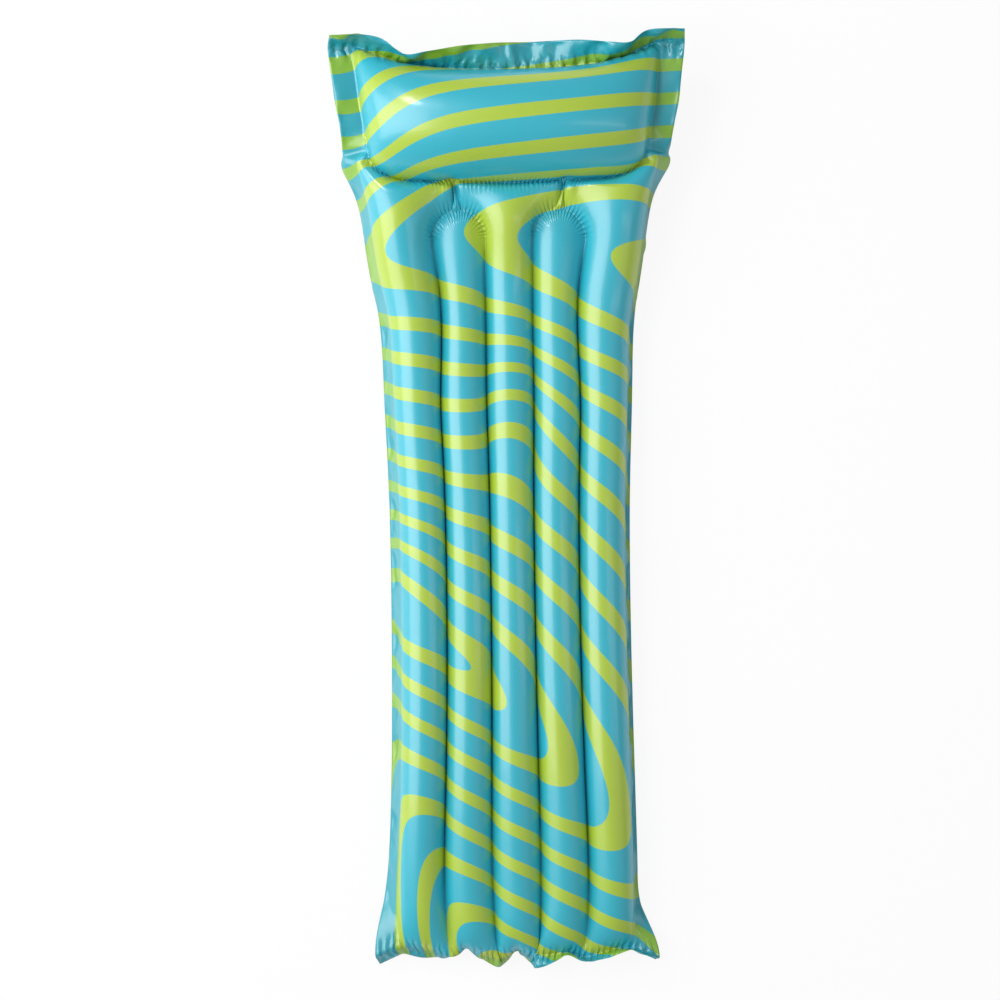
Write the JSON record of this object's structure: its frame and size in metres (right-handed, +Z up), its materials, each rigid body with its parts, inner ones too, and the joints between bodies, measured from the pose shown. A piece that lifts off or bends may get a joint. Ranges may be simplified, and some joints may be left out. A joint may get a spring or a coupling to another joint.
{
  "type": "pool air mattress",
  "caption": "Inflatable pool mattress of welded vinyl sheets with a raised head pillow, lengthwise air tubes, a wide welded flange and push-in valves on the underside.",
  "frame": {"origin": "on the ground, under the middle of the mattress's box", "axes": "+Y runs along the mattress towards the head pillow, +X across it, +Z up from the ground that its underside rests on"},
  "size_m": [0.657, 1.7522, 0.2009],
  "materials": {
    "printed_vinyl": "gloss",
    "back_vinyl": "gloss",
    "valve_vinyl": "satin"
  },
  "bodies": {
    "mattress": {"top_sheet": "printed_vinyl", "bottom_sheet": "back_vinyl", "pillow_valve_flange": "valve_vinyl", "pillow_valve_skirt": "valve_vinyl", "body_valve_flange": "valve_vinyl", "body_valve_skirt": "valve_vinyl"},
    "pillow_valve_stem": {"pillow_valve_stem": "valve_vinyl"},
    "pillow_valve_flap": {"pillow_valve_flap": "valve_vinyl"},
    "pillow_valve_plug": {"pillow_valve_plug": "valve_vinyl", "pillow_valve_strap": "valve_vinyl"},
    "body_valve_stem": {"body_valve_stem": "valve_vinyl"},
    "body_valve_flap": {"body_valve_flap": "valve_vinyl"},
    "body_valve_plug": {"body_valve_plug": "valve_vinyl", "body_valve_strap": "valve_vinyl"}
  },
  "joints": [
    {"name": "pillow_valve_push", "type": "slide", "parent": "mattress", "child": "pillow_valve_stem", "axis": [0, -0.5905, 0.807], "range_m": [0, 0.009], "deforming": ["pillow_valve_skirt"]},
    {"name": "pillow_valve_flap_hinge", "type": "hinge", "parent": "pillow_valve_stem", "child": "pillow_valve_flap", "pos_m": [0, 0.75397, 0.02517], "axis": [-1, 0, 0], "range_deg": [0, 60]},
    {"name": "pillow_valve_plug_hinge", "type": "hinge", "parent": "pillow_valve_stem", "child": "pillow_valve_plug", "pos_m": [0, 0.7702, 0.01585], "axis": [1, 0, 0], "range_deg": [0, 150]},
    {"name": "body_valve_push", "type": "slide", "parent": "mattress", "child": "body_valve_stem", "axis": [0, -0.2101, 0.9777], "range_m": [0, 0.009], "deforming": ["body_valve_skirt"]},
    {"name": "body_valve_flap_hinge", "type": "hinge", "parent": "body_valve_stem", "child": "body_valve_flap", "pos_m": [0, 0.52845, 0.0526], "axis": [-1, 0, 0], "range_deg": [0, 60]},
    {"name": "body_valve_plug_hinge", "type": "hinge", "parent": "body_valve_stem", "child": "body_valve_plug", "pos_m": [0, 0.53947, 0.03748], "axis": [1, 0, 0], "range_deg": [0, 150]}
  ]
}
